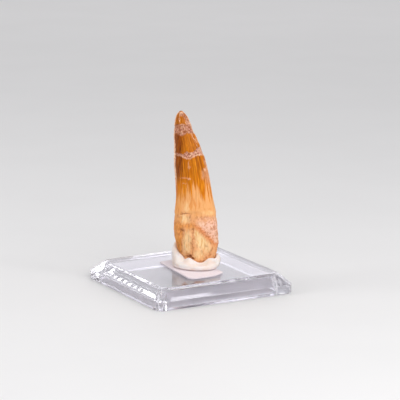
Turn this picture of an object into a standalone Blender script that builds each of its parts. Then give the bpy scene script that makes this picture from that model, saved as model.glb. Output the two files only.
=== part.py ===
"""A fossil dinosaur tooth that stands in a seat of putty, on a paper pad and a clear display base.

The base lies flat on the origin with its sides along X and Y. The tooth stands upright on it, its
broad side turned away from the base's front face.
"""
import math
import random

import bmesh
import bpy
import numpy as np
from mathutils import Matrix, Vector

MM = 0.001
FIT_GAP = 0.3 * MM

# Display base: a rim, four slopes and a plateau, hollow underneath
BASE_SIDE = 60.0 * MM
BASE_HEIGHT = 7.8 * MM
RIM_HEIGHT = 3.5 * MM
CORNER_CUT = 1.9 * MM
PLATEAU_SIDE = 51.2 * MM
EDGE_ROUND = 0.25 * MM
EDGE_ANGLE = math.radians(20)
RIM_WALL = 5.0 * MM
PLATE_THICKNESS = 2.0 * MM
POCKET_CORNER_RADIUS = 3.0 * MM
POCKET_CORNER_STEPS = 6

# Paper pad: a sheet cut by hand, with one corner rounded off
PAD_THICKNESS = 0.4 * MM
PAD_BACK_LEFT = (-8.5 * MM, 9.4 * MM)
PAD_FRONT_LEFT = (-10.8 * MM, -20.1 * MM)
PAD_FRONT_BEND = (0.6 * MM, -19.5 * MM)
PAD_FRONT_RIGHT = (5.3 * MM, -17.1 * MM)
PAD_BACK_RIGHT = (7.4 * MM, 10.6 * MM)
PAD_CORNER_RADIUS = 2.4 * MM
PAD_CORNER_STEPS = 6

# Where the tooth stands, and how far it is turned about the vertical
STAND_POINT = (0.3 * MM, -4.4 * MM)
STAND_TURN = math.radians(-29)

# Tooth sections: height above the broken root, lean of the centre, half of the width
TOOTH_SECTIONS = [
    (0.0, 0.9, 5.2),
    (1.9, 1.05, 6.5),
    (4.5, 0.78, 7.6),
    (8.4, 0.35, 8.5),
    (15.4, -0.19, 8.71),
    (20.2, -0.26, 8.15),
    (25.0, -0.45, 7.27),
    (34.6, -1.43, 6.52),
    (39.4, -2.16, 6.14),
    (44.2, -2.88, 5.47),
    (48.9, -3.89, 4.44),
    (52.5, -4.81, 3.74),
    (56.0, -5.31, 2.83),
    (58.4, -5.65, 1.98),
    (59.6, -5.85, 1.2),
    (60.2, -5.95, 0.65),
]
TOOTH_HEIGHT = 60.5 * MM
ROOT_FLATNESS = 0.74
TIP_FLATNESS = 0.88
BACKWARD_BOW = 1.2 * MM
TOOTH_RINGS = 50
TIP_CROWDING = 1.35

# Enamel: flutes along the crown and a cutting ridge down each edge
FLUTES = 18
FLUTE_TURN = math.radians(5)
STEPS_PER_FLUTE = 4
FLUTE_DEPTH_SHARE = 0.035
FLUTES_START = (20.0 * MM, 27.0 * MM)
FLUTES_END = (50.0 * MM, 57.0 * MM)
RIDGE_HEIGHT = 0.3 * MM
RIDGE_SPREAD = math.radians(6)
RIDGE_ANGLES = (math.radians(186), math.radians(-28))
RIDGES_START = (16.0 * MM, 26.0 * MM)

# Mended breaks: a rough collar near the tip and a wavy seam below it
COLLAR_HEIGHTS = (51.4 * MM, 55.6 * MM)
COLLAR_SINK = 0.15 * MM
SEAM_LOW = 41.7 * MM
SEAM_RISE = 4.2 * MM
SEAM_STEEPNESS = 1.3
SEAM_LOW_ANGLE = math.radians(-105)
SEAM_DEPTH = 0.3 * MM
SEAM_SPREAD = 0.9 * MM

# Broken root: angle, height, spread in angle, spread in height, rise (degrees and millimetres)
ROOT_FORMS = [
    (-61, 15.4, 24, 3.6, 0.5),
    (-114, 17.3, 7, 1.6, -0.5),
    (-132, 12.9, 8, 1.5, -0.6),
    (-98, 13.2, 6, 1.3, -0.5),
    (-77, 7.9, 15, 4.0, -0.7),
    (-112, 7.6, 9, 4.4, -0.6),
    (-30, 8.0, 9, 2.2, -0.4),
    (-6, 8.4, 9, 1.2, 0.35),
    (60, 15.0, 22, 4.0, 0.5),
    (112, 9.0, 16, 4.6, -0.7),
    (20, 17.5, 12, 2.0, -0.5),
    (150, 17.0, 10, 2.4, 0.35),
]
ROOT_GRIP = (0.0, 5.0 * MM)
ROOT_END = (-1.0 * MM, 2.0 * MM)
ENAMEL_LEDGE_HEIGHT = 20.4 * MM
ENAMEL_LEDGE_DEPTH = 0.25 * MM
ENAMEL_LEDGE_WAVES = 3
ENAMEL_LEDGE_SWING = 1.3 * MM
ENAMEL_LEDGE_SOFTNESS = 0.6 * MM

# Grain of the broken surfaces: seeded lumps, full up to the first height and gone at the second
ROUGH_LUMPS = 16
ROUGH_DEPTH = 0.07 * MM
ROUGH_FADE = (14.0 * MM, 22.0 * MM)
ROUGH_ON_COLLAR = 0.6
ROUGH_AROUND = (5, 12)
ROUGH_ALONG = (0.7 / MM, 2.0 / MM)
ROUGH_SEED = 11

# Putty seat: a cup pressed round the root, open at the top
PUTTY_SHIFT = -0.1 * MM
PUTTY_HALF_WIDTH = 9.45 * MM
PUTTY_HALF_DEPTH = 8.2 * MM
PUTTY_FLOOR = 1.0 * MM
PUTTY_FOOT_RINGS = [(0.5, 0.0), (0.92, 0.0), (0.97, 0.5 * MM), (1.0, 1.9 * MM)]
PUTTY_WALL = 0.8 * MM
PUTTY_CREST = 0.45 * MM
PUTTY_SHOULDER_DROP = 0.5 * MM
PUTTY_LIP_DROP = 0.4 * MM
PUTTY_SWELL = 0.35 * MM
SEAT_CLEARANCE = 0.2 * MM
PUTTY_SEGMENTS = 56
PUTTY_OUTER_STEPS = 4
PUTTY_INNER_STEPS = 6

# Lobes of the putty's foot: angle, spread and growth
PUTTY_LOBES = [
    (-58, 36, 0.12),
    (-140, 30, -0.04),
    (70, 40, 0.05),
]

# Tab on the putty's left, which stands a little off the tooth
TAB_ANGLE = math.radians(172)
TAB_SPREAD = math.radians(20)
TAB_STAND_OFF = 0.5 * MM
TAB_MIDDLE = 7.3 * MM
TAB_TALL = 2.4 * MM

# Top of the putty round the root: angle and height above the putty's underside
PUTTY_RIM = [
    (-180, 7.5),
    (-172, 6.8),
    (-164, 6.2),
    (-157, 5.9),
    (-151, 5.2),
    (-146, 4.1),
    (-140, 3.6),
    (-134, 3.8),
    (-128, 4.15),
    (-121, 4.4),
    (-115, 4.35),
    (-110, 3.85),
    (-103, 3.3),
    (-95, 2.75),
    (-84, 2.5),
    (-74, 2.7),
    (-67, 3.4),
    (-60, 4.1),
    (-52, 4.3),
    (-42, 4.1),
    (-30, 3.7),
    (-22, 3.8),
    (-10, 4.7),
    (20, 4.7),
    (60, 4.2),
    (105, 4.8),
    (130, 5.4),
    (143, 7.4),
    (152, 8.9),
    (161, 9.3),
    (171, 8.6),
]

# Colours: red, green, blue
CLEAR = (0.90, 0.90, 0.93)
PAPER_WHITE = (0.86, 0.84, 0.85)
PUTTY_WHITE = (0.87, 0.84, 0.79)
AMBER_ENAMEL = (0.58, 0.27, 0.07)


def clear_scene():
    """Removes whatever the file opened with."""
    for thing in list(bpy.data.objects):
        bpy.data.objects.remove(thing, do_unlink=True)


def new_collection(name):
    """Adds a collection to the scene."""
    collection = bpy.data.collections.new(name)
    bpy.context.scene.collection.children.link(collection)
    return collection


def new_material(name, colour, roughness, transmission=0.0):
    """Makes a Principled material."""
    material = bpy.data.materials.new(name)
    material.use_nodes = True
    shader = material.node_tree.nodes["Principled BSDF"]
    shader.inputs["Base Color"].default_value = (*colour, 1.0)
    shader.inputs["Roughness"].default_value = roughness
    shader.inputs["Transmission Weight"].default_value = transmission
    return material


def new_object(name, mesh, collection, material=None):
    """Puts a mesh in the scene under a name."""
    thing = bpy.data.objects.new(name, mesh)
    collection.objects.link(thing)
    if material is not None:
        mesh.materials.append(material)
    return thing


def ease(low, high, value):
    """Goes smoothly from 0 at low to 1 at high."""
    share = np.clip((value - low) / (high - low), 0.0, 1.0)
    return share * share * (3.0 - 2.0 * share)


def curve_through(places, values, wanted):
    """Reads a smooth curve through points, with the slope of its neighbours at each point."""
    slopes = np.gradient(values, places)
    left = np.clip(np.searchsorted(places, wanted) - 1, 0, len(places) - 2)
    span = places[left + 1] - places[left]
    t = (wanted - places[left]) / span
    start = values[left] * (1 + 2 * t) * (1 - t) ** 2 + slopes[left] * span * t * (1 - t) ** 2
    end = values[left + 1] * t * t * (3 - 2 * t) + slopes[left + 1] * span * t * t * (t - 1)
    return start + end


def angle_between(angle, centre):
    """Gives the angle from centre, between minus and plus half a turn."""
    return (angle - centre + np.pi) % (2 * np.pi) - np.pi


def bump(distance, spread):
    """Is 1 at no distance and falls off to nothing past two spreads."""
    return np.exp(-((distance / spread) ** 2))


def skin_rings(rings, flat_ends=False, peak=0.0):
    """Skins a stack of rings and closes both ends, flat or with a fan, the last raised to a peak."""
    mesh = bmesh.new()
    rows = [[mesh.verts.new(Vector(point)) for point in ring] for ring in rings]
    count = len(rows[0])
    following = [(i + 1) % count for i in range(count)]
    for lower, upper in zip(rows, rows[1:]):
        for i, j in enumerate(following):
            mesh.faces.new((lower[i], lower[j], upper[j], upper[i]))
    if flat_ends:
        mesh.faces.new(rows[0][::-1])
        mesh.faces.new(rows[-1])
        return mesh
    first = mesh.verts.new(Vector(rings[0].mean(axis=0)))
    last = mesh.verts.new(Vector(rings[-1].mean(axis=0)) + Vector((0, 0, peak)))
    for i, j in enumerate(following):
        mesh.faces.new((rows[0][j], rows[0][i], first))
        mesh.faces.new((rows[-1][i], rows[-1][j], last))
    return mesh


def mesh_from(name, worked):
    """Turns an edited mesh into mesh data and frees it."""
    mesh = bpy.data.meshes.new(name)
    worked.to_mesh(mesh)
    worked.free()
    return mesh


def place_on_stand(rings, height):
    """Turns rings about the vertical and moves them to where the tooth stands."""
    turn = Matrix.Rotation(STAND_TURN, 3, "Z")
    shift = np.array([STAND_POINT[0], STAND_POINT[1], height])
    return [ring @ np.array(turn).T + shift for ring in rings]


def cut_square(side, height):
    """Outlines a square whose corners are cut off, counter-clockwise at one height."""
    half = side / 2
    corners = []
    for quarter in range(4):
        turn = Matrix.Rotation(quarter * math.pi / 2, 3, "Z")
        corners.append(turn @ Vector((half, half - CORNER_CUT, height)))
        corners.append(turn @ Vector((half - CORNER_CUT, half, height)))
    return np.array(corners)


def build_base(parts, cutters):
    """Lofts the rim and slopes, rounds their edges and cuts the pocket out from below."""
    rings = [
        cut_square(BASE_SIDE, 0.0),
        cut_square(BASE_SIDE, RIM_HEIGHT),
        cut_square(PLATEAU_SIDE, BASE_HEIGHT),
    ]
    mesh = mesh_from("base", skin_rings(rings, flat_ends=True))
    base = new_object("base", mesh, parts, new_material("clear_plastic", CLEAR, 0.05, 1.0))
    rounding = base.modifiers.new("rounded_edges", "BEVEL")
    rounding.width = EDGE_ROUND
    rounding.segments = 2
    rounding.limit_method = "ANGLE"
    rounding.angle_limit = EDGE_ANGLE
    pocket = build_pocket(cutters)
    cut = base.modifiers.new("pocket", "BOOLEAN")
    cut.operation = "DIFFERENCE"
    cut.solver = "EXACT"
    cut.object = pocket
    return base


def build_pocket(cutters):
    """Makes the cutter of the hollow under the plateau, a box with round upright corners."""
    side = BASE_SIDE - 2 * RIM_WALL
    roof = BASE_HEIGHT - PLATE_THICKNESS
    depth = 2 * roof
    box = bmesh.new()
    size = Matrix.Diagonal((side, side, depth, 1.0))
    bmesh.ops.create_cube(box, size=1.0, matrix=Matrix.Translation((0, 0, roof - depth / 2)) @ size)
    upright = [edge for edge in box.edges if abs(edge.verts[0].co.z - edge.verts[1].co.z) > depth / 2]
    round_over = {"offset": POCKET_CORNER_RADIUS, "segments": POCKET_CORNER_STEPS, "profile": 0.5}
    bmesh.ops.bevel(box, geom=upright, affect="EDGES", **round_over)
    cutter = new_object("pocket_cutter", mesh_from("pocket_cutter", box), cutters)
    cutter.hide_render = True
    cutter.display_type = "WIRE"
    return cutter


def rounded_corner(corner, before, after, radius):
    """Replaces a corner by an arc that touches both of its sides."""
    corner = Vector(corner)
    back = (Vector(before) - corner).normalized()
    ahead = (Vector(after) - corner).normalized()
    half_angle = back.angle(ahead) / 2
    middle = corner + (back + ahead).normalized() * radius / math.sin(half_angle)
    start = corner + back * radius / math.tan(half_angle) - middle
    sweep = math.pi - 2 * half_angle
    points = []
    for step in range(PAD_CORNER_STEPS + 1):
        turned = Matrix.Rotation(sweep * step / PAD_CORNER_STEPS, 2) @ start
        points.append(middle + turned)
    return points


def build_pad(parts, underside):
    """Extrudes the paper pad from its flat outline."""
    outline = [Vector(PAD_BACK_LEFT)]
    outline += rounded_corner(PAD_FRONT_LEFT, PAD_BACK_LEFT, PAD_FRONT_BEND, PAD_CORNER_RADIUS)
    outline += [Vector(PAD_FRONT_BEND), Vector(PAD_FRONT_RIGHT), Vector(PAD_BACK_RIGHT)]
    curve = bpy.data.curves.new("pad", "CURVE")
    curve.dimensions = "2D"
    curve.fill_mode = "BOTH"
    curve.extrude = PAD_THICKNESS / 2
    spline = curve.splines.new("POLY")
    spline.points.add(len(outline) - 1)
    for point, place in zip(spline.points, outline):
        point.co = (place.x, place.y, 0.0, 1.0)
    spline.use_cyclic_u = True
    pad = new_object("pad", curve, parts, new_material("white_paper", PAPER_WHITE, 0.8))
    pad.location.z = underside + PAD_THICKNESS / 2
    return pad


def move_out(ring, angles, distance):
    """Moves each point of a ring away from the middle, level with the ground."""
    outward = np.stack([np.cos(angles), np.sin(angles), np.zeros_like(angles)], axis=-1)
    return ring + outward * np.reshape(distance, (-1, 1))


def half_width_at(heights):
    """Reads half of the tooth's width from its sections."""
    rows = np.array(TOOTH_SECTIONS) * MM
    return curve_through(rows[:, 0], rows[:, 2], heights)


def tooth_outline(angles, heights):
    """Gives the tooth's smooth surface: sections that lean, bow backwards and narrow to the tip."""
    rows = np.array(TOOTH_SECTIONS) * MM
    lean = curve_through(rows[:, 0], rows[:, 1], heights)
    half_width = half_width_at(heights)
    share = heights / TOOTH_HEIGHT
    half_depth = half_width * (ROOT_FLATNESS + (TIP_FLATNESS - ROOT_FLATNESS) * share)
    bow = BACKWARD_BOW * share * share
    x = lean + half_width * np.cos(angles)
    y = bow + half_depth * np.sin(angles)
    return np.stack(np.broadcast_arrays(x, y, heights), axis=-1)


def seam_height(angles):
    """Gives the wavy seam's height: lowest at the front and levelling off towards the back."""
    away = 1 - np.cos(angle_between(angles, SEAM_LOW_ANGLE))
    return SEAM_LOW + SEAM_RISE * np.tanh(SEAM_STEEPNESS * away)


def crown_relief(angles, heights):
    """Raises the flutes and the two cutting ridges, and sinks the mended breaks."""
    wave = np.cos(FLUTES * (angles - FLUTE_TURN))
    fluted = ease(*FLUTES_START, heights) * (1 - ease(*FLUTES_END, heights))
    relief = fluted * FLUTE_DEPTH_SHARE * half_width_at(heights) * (wave - 1) / 2
    for centre in RIDGE_ANGLES:
        ridge = bump(angle_between(angles, centre), RIDGE_SPREAD)
        relief = relief + RIDGE_HEIGHT * ridge * ease(*RIDGES_START, heights)
    collar_middle = sum(COLLAR_HEIGHTS) / 2
    collar_spread = (COLLAR_HEIGHTS[1] - COLLAR_HEIGHTS[0]) / 2
    relief = relief - COLLAR_SINK * bump(heights - collar_middle, collar_spread)
    return relief - SEAM_DEPTH * bump(heights - seam_height(angles), SEAM_SPREAD)


def root_relief(angles, heights):
    """Adds the broken root's lumps and hollows, and the step where the enamel ends."""
    relief = np.zeros_like(angles)
    for centre, middle, wide, tall, rise in ROOT_FORMS:
        around = bump(angle_between(angles, math.radians(centre)), math.radians(wide))
        relief += rise * MM * around * bump(heights - middle * MM, tall * MM)
    ledge = ENAMEL_LEDGE_HEIGHT + ENAMEL_LEDGE_SWING * np.sin(ENAMEL_LEDGE_WAVES * angles)
    enamel = ease(-ENAMEL_LEDGE_SOFTNESS, ENAMEL_LEDGE_SOFTNESS, heights - ledge)
    return relief - ENAMEL_LEDGE_DEPTH * (1 - enamel)


def rough_relief(angles, heights):
    """Adds seeded lumps of mixed sizes to the root and to the rough collar."""
    rng = random.Random(ROUGH_SEED)
    lumps = np.zeros_like(angles)
    for _ in range(ROUGH_LUMPS):
        around = np.sin(rng.randint(*ROUGH_AROUND) * angles + rng.uniform(0, 2 * math.pi))
        lumps += around * np.sin(rng.uniform(*ROUGH_ALONG) * heights + rng.uniform(0, 2 * math.pi))
    collar = bump(heights - sum(COLLAR_HEIGHTS) / 2, (COLLAR_HEIGHTS[1] - COLLAR_HEIGHTS[0]) / 2)
    return ROUGH_DEPTH * np.maximum(1 - ease(*ROUGH_FADE, heights), ROUGH_ON_COLLAR * collar) * lumps


def build_tooth(parts, foot):
    """Lofts the tooth from its smooth outline, moved outwards or inwards by the relief."""
    angles = np.linspace(0, 2 * np.pi, STEPS_PER_FLUTE * FLUTES, endpoint=False)
    highest = TOOTH_SECTIONS[-1][0] * MM
    rings = []
    for height in highest * (1 - (1 - np.linspace(0, 1, TOOTH_RINGS)) ** TIP_CROWDING):
        relief = crown_relief(angles, height) + root_relief(angles, height) + rough_relief(angles, height)
        held = np.minimum(relief, relief * ease(*ROOT_GRIP, height))
        rings.append(move_out(tooth_outline(angles, height), angles, held * ease(*ROOT_END, height)))
    mesh = mesh_from("tooth", skin_rings(place_on_stand(rings, foot), peak=TOOTH_HEIGHT - highest))
    mesh.shade_smooth()
    return new_object("tooth", mesh, parts, new_material("fossil_enamel", AMBER_ENAMEL, 0.4))


def putty_rim(angles):
    """Gives the height of the putty's wavy top above its underside."""
    rows = np.array(PUTTY_RIM)
    turns = np.concatenate([rows[:, 0] - 360, rows[:, 0], rows[:, 0] + 360])
    heights = np.tile(rows[:, 1], 3)
    wanted = np.degrees(angle_between(angles, 0.0))
    return curve_through(turns, heights, wanted) * MM


def putty_wall(angles, heights, thickness):
    """Follows the tooth's smooth outline at a distance: no thickness is the inside of the seat."""
    outline = tooth_outline(angles, np.maximum(heights - PUTTY_FLOOR - FIT_GAP, 0.0))
    tab = bump(angle_between(angles, TAB_ANGLE), TAB_SPREAD) * bump(heights - TAB_MIDDLE, TAB_TALL)
    wall = move_out(outline, angles, FIT_GAP + SEAT_CLEARANCE + TAB_STAND_OFF * tab + thickness)
    wall[:, 2] = heights
    return wall


def putty_foot(angles):
    """Outlines the putty at its widest: an ellipse with soft lobes."""
    reach = np.ones_like(angles)
    for centre, spread, growth in PUTTY_LOBES:
        reach += growth * bump(angle_between(angles, math.radians(centre)), math.radians(spread))
    x = PUTTY_SHIFT + PUTTY_HALF_WIDTH * reach * np.cos(angles)
    y = PUTTY_HALF_DEPTH * reach * np.sin(angles)
    return np.stack([x, y, np.zeros_like(angles)], axis=-1)


def build_putty(parts, underside):
    """Lofts the putty: out over its foot, up the outer wall, over the wavy rim and down the seat."""
    angles = np.linspace(0, 2 * np.pi, PUTTY_SEGMENTS, endpoint=False)
    rim = putty_rim(angles)
    foot = putty_foot(angles)
    rings = [foot * scale + np.array([0.0, 0.0, height]) for scale, height in PUTTY_FOOT_RINGS]
    widest = rings[-1]
    shoulder = putty_wall(angles, rim - PUTTY_SHOULDER_DROP, PUTTY_WALL)
    for share in np.linspace(0, 1, PUTTY_OUTER_STEPS + 1)[1:]:
        ring = widest + (shoulder - widest) * share
        rings.append(move_out(ring, angles, PUTTY_SWELL * math.sin(share * math.pi)))
    rings.append(putty_wall(angles, rim, PUTTY_CREST))
    lip = rim - PUTTY_LIP_DROP
    for share in np.linspace(0, 1, PUTTY_INNER_STEPS + 1):
        rings.append(putty_wall(angles, lip + (PUTTY_FLOOR - lip) * share, 0.0))
    mesh = mesh_from("putty", skin_rings(place_on_stand(rings, underside)))
    mesh.shade_smooth()
    return new_object("putty", mesh, parts, new_material("white_putty", PUTTY_WHITE, 0.7))


def main():
    """Builds the stand from the table up: base, pad, putty and tooth."""
    clear_scene()
    parts = new_collection("fossil_tooth_on_stand")
    cutters = new_collection("cutters")
    pad_underside = BASE_HEIGHT + FIT_GAP
    putty_underside = pad_underside + PAD_THICKNESS + FIT_GAP
    tooth_foot = putty_underside + PUTTY_FLOOR + FIT_GAP
    build_base(parts, cutters)
    build_pad(parts, pad_underside)
    build_putty(parts, putty_underside)
    build_tooth(parts, tooth_foot)


main()
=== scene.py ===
"""Dresses a fossil dinosaur tooth that stands in white putty, on a paper pad and a clear display base.

Lengths are millimetres until a mesh is made. A point of the tooth is told by its height above the
broken foot and by its angle, counter-clockwise from above: 0 is the tooth's right edge, -90 degrees
its front. "Across" runs to the right as seen from the front, and "behind" away from it.
"""
import logging
import math
from dataclasses import dataclass
from enum import Enum

import bpy
import numpy as np
from mathutils import Matrix, Vector


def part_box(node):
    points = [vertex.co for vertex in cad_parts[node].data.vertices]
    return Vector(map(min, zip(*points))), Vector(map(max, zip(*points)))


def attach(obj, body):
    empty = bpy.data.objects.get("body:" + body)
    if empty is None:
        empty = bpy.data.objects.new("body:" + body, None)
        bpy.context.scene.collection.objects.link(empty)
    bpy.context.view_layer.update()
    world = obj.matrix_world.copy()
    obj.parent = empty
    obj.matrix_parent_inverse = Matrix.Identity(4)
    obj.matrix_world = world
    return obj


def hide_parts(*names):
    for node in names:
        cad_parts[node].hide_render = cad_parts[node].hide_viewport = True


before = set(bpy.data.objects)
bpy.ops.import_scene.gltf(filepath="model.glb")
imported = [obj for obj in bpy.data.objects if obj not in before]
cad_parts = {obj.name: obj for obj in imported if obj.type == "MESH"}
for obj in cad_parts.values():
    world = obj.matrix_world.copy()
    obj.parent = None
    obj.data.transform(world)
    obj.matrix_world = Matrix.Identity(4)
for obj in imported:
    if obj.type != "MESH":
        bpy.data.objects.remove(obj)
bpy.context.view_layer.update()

MM = 0.001
FULL_TURN = 2 * math.pi
WORKSHOP = logging.getLogger("tooth_stand")
ROUGH_SKIN = "roughness_of_skin"
LIGHT_BOUNCES = 64

Array = np.ndarray
Socket = bpy.types.NodeSocket
Colour = tuple[float, float, float]
Pair = tuple[float, float]
Rows = tuple[tuple[float, ...], ...]
Piece = bpy.types.Object
Material = bpy.types.Material


# Small tools for shapes


def linear(red: int, green: int, blue: int) -> Colour:
    """Turns a colour as a screen shows it, 0 to 255, into the light that it stands for."""
    shown = np.array([red, green, blue]) / 255
    light = np.where(shown > 0.04045, ((shown + 0.055) / 1.055) ** 2.4, shown / 12.92)
    return tuple(float(part) for part in light)


def ease(low: float, high: float, value: Array) -> Array:
    """Goes smoothly from 0 at low to 1 at high."""
    share = np.clip((value - low) / (high - low), 0.0, 1.0)
    return share * share * (3.0 - 2.0 * share)


def bell(distance: Array, spread: float) -> Array:
    """Is 1 at no distance and falls off to nothing past two spreads."""
    return np.exp(-((distance / spread) ** 2))


def band(value: Array, low: Array, high: Array, softness: float) -> Array:
    """Is 1 between two borders and fades over each, a softness to either side."""
    return ease(-softness, softness, value - low) * (1 - ease(-softness, softness, value - high))


def outward(angles: Array) -> Array:
    """Points straight out at each angle, level with the table."""
    return np.stack([np.cos(angles), np.sin(angles), np.zeros_like(angles)], axis=-1)


def angle_from(angle: Array, centre: float) -> Array:
    """Gives the angle from a centre, between minus and plus half a turn."""
    return (angle - centre + np.pi) % FULL_TURN - np.pi


def curve_through(places: Array, values: Array, wanted: Array) -> Array:
    """Reads a smooth curve through points.

    Each stretch is a cubic that takes its end slopes from the neighbouring points.

    Args:
        places: where the points are, rising.
        values: the value at each place.
        wanted: places to read.

    Returns:
        The values there.
    """
    slopes = np.gradient(values, places)
    left = np.clip(np.searchsorted(places, wanted) - 1, 0, len(places) - 2)
    span = places[left + 1] - places[left]
    t = (wanted - places[left]) / span
    start = values[left] * (1 + 2 * t) * (1 - t) ** 2 + slopes[left] * span * t * (1 - t) ** 2
    end = values[left + 1] * t * t * (3 - 2 * t) + slopes[left + 1] * span * t * t * (t - 1)
    return start + end


def rounded_loop(corners: Array, radii: Array, steps: int, hold: float) -> Array:
    """Rounds the corners of a flat closed outline.

    At each corner an arc touches both sides, with one more point a hold's length along each side, so
    that smooth shading stays within the arc.

    Args:
        corners: points in order, one row each.
        radii: radius at each corner.
        steps: stretches in each arc.
        hold: distance of the holding points from the arc's ends.

    Returns:
        Steps + 3 points for each corner, one row each.
    """
    corners = np.asarray(corners, float)
    radii = np.broadcast_to(np.asarray(radii, float), len(corners))[:, None]
    into = corners - np.roll(corners, 1, axis=0)
    into /= np.linalg.norm(into, axis=1, keepdims=True)
    away = np.roll(into, -1, axis=0)
    cross = into[:, 0] * away[:, 1] - into[:, 1] * away[:, 0]
    turn = np.arctan2(cross, (into * away).sum(axis=1))[:, None]
    side = np.sign(turn)
    left = np.stack([-into[:, 1], into[:, 0]], axis=1)
    start = corners - into * radii * np.tan(np.abs(turn) / 2)
    centre = start + side * radii * left
    swept = turn * np.linspace(0, 1, steps + 1)
    arm = start - centre
    x = centre[:, :1] + arm[:, :1] * np.cos(swept) - arm[:, 1:] * np.sin(swept)
    y = centre[:, 1:] + arm[:, :1] * np.sin(swept) + arm[:, 1:] * np.cos(swept)
    arc = np.stack([x, y], axis=-1)
    first = arc[:, :1] - (into * hold)[:, None]
    last = arc[:, -1:] + (away * hold)[:, None]
    return np.concatenate([first, arc, last], axis=1).reshape(-1, 2)


def placed(name: str, data: bpy.types.ID) -> Piece:
    """Puts a mesh, a lamp or a camera into the scene as an object."""
    piece = bpy.data.objects.new(name, data)
    bpy.context.scene.collection.objects.link(piece)
    return piece


def closed_skin(name: str, rings: Array, poles: Array) -> Piece:
    """Skins rings that turn counter-clockwise, from a pole under the first to one over the last.

    Args:
        name: name of the piece.
        rings: points in millimetres, as rows of rings, each ring closed on itself.
        poles: first and last point, one row each.

    Returns:
        The piece, smooth, in the scene, with its place in its mesh.
    """
    rows, columns = rings.shape[:2]
    number = np.arange(rows * columns).reshape(rows, columns)
    beside = np.roll(number, -1, axis=1)
    quads = np.stack([number[:-1], beside[:-1], beside[1:], number[1:]], axis=-1).reshape(-1, 4)
    first, last = rows * columns, rows * columns + 1
    under = np.stack([np.full(columns, first), beside[0], number[0]], axis=-1)
    over = np.stack([number[-1], beside[-1], np.full(columns, last)], axis=-1)
    points = np.concatenate([rings.reshape(-1, 3), poles]) * MM
    mesh = bpy.data.meshes.new(name)
    mesh.from_pydata(points.tolist(), [], quads.tolist() + under.tolist() + over.tolist())
    mesh.shade_smooth()
    return placed(name, mesh)


@dataclass(frozen=True)
class Grain:
    """Smooth random lumps round an upright piece: a lattice of values that closes on itself."""

    around: int
    along: float
    seed: int
    lowest: float = -8.0
    highest: float = 72.0

    def at(self, angles: Array, heights: Array) -> Array:
        """Reads the lattice between its points.

        Args:
            angles: angle of each point.
            heights: height of each point.

        Returns:
            Values between 0 and 1, eased from each lattice point to the next.
        """
        rows = int((self.highest - self.lowest) * self.along) + 2
        lattice = np.random.default_rng(self.seed).random((rows, self.around))
        column = np.mod(angles, FULL_TURN) / FULL_TURN * self.around
        # Stays just short of the last row, so that each point has a row above it
        row = np.clip((heights - self.lowest) * self.along, 0, rows - 1.001)
        left, low = np.floor(column).astype(int), np.floor(row).astype(int)
        over, up = ease(0, 1, column - left), ease(0, 1, row - low)
        left, right = left % self.around, (left + 1) % self.around
        bottom = lattice[low, left] * (1 - over) + lattice[low, right] * over
        top = lattice[low + 1, left] * (1 - over) + lattice[low + 1, right] * over
        return bottom * (1 - up) + top * up

    def layered(self, angles: Array, heights: Array, layers: int = 3) -> Array:
        """Adds ever finer and weaker grain; values centre on 0 and stay within -1 to 1."""
        total, weight = np.zeros(np.broadcast(angles, heights).shape), 0.0
        for layer in range(layers):
            finer = Grain(self.around * 2**layer, self.along * 2**layer, self.seed + layer)
            total += finer.at(angles, heights) * 0.5**layer
            weight += 0.5**layer
        return 2 * total / weight - 1


@dataclass(frozen=True)
class Mark:
    """A patch on the tooth as seen from its front.

    Its middle moves to the right by lean for each millimetre of height.
    """

    across: float
    height: float
    wide: float
    tall: float
    strength: float = 1.0
    lean: float = 0.0

    def at(self, across: Array, heights: Array) -> Array:
        """Is near its strength inside an ellipse of its half width and half height, then fades."""
        sideways = (across - self.across - self.lean * (heights - self.height)) / self.wide
        upward = (heights - self.height) / self.tall
        return self.strength * np.exp(-((sideways**2 + upward**2) ** 2))


def marks(*rows: tuple[float, ...]) -> tuple[Mark, ...]:
    """Makes marks from rows of their values."""
    return tuple(Mark(*row) for row in rows)


def strongest(group: tuple[Mark, ...], across: Array, heights: Array) -> Array:
    """Gives the strongest of several marks at each point."""
    return np.max([mark.at(across, heights) for mark in group], axis=0)


@dataclass(frozen=True)
class Points:
    """Points on the tooth, and where they appear to someone who looks at its front."""

    angles: Array
    heights: Array
    across: Array
    level: Array

    def grain(self, around: int, along: float, seed: int, layers: int = 3) -> Array:
        """Reads layered grain at the points, -1 to 1."""
        return Grain(around, along, seed).layered(self.angles, self.heights, layers)

    def specks(self, grain: Grain, low: float, high: float) -> Array:
        """Is 1 where a plain grain rises over high and 0 where it stays under low."""
        return ease(low, high, grain.at(self.angles, self.heights))


# Small tools for finishes


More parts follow.
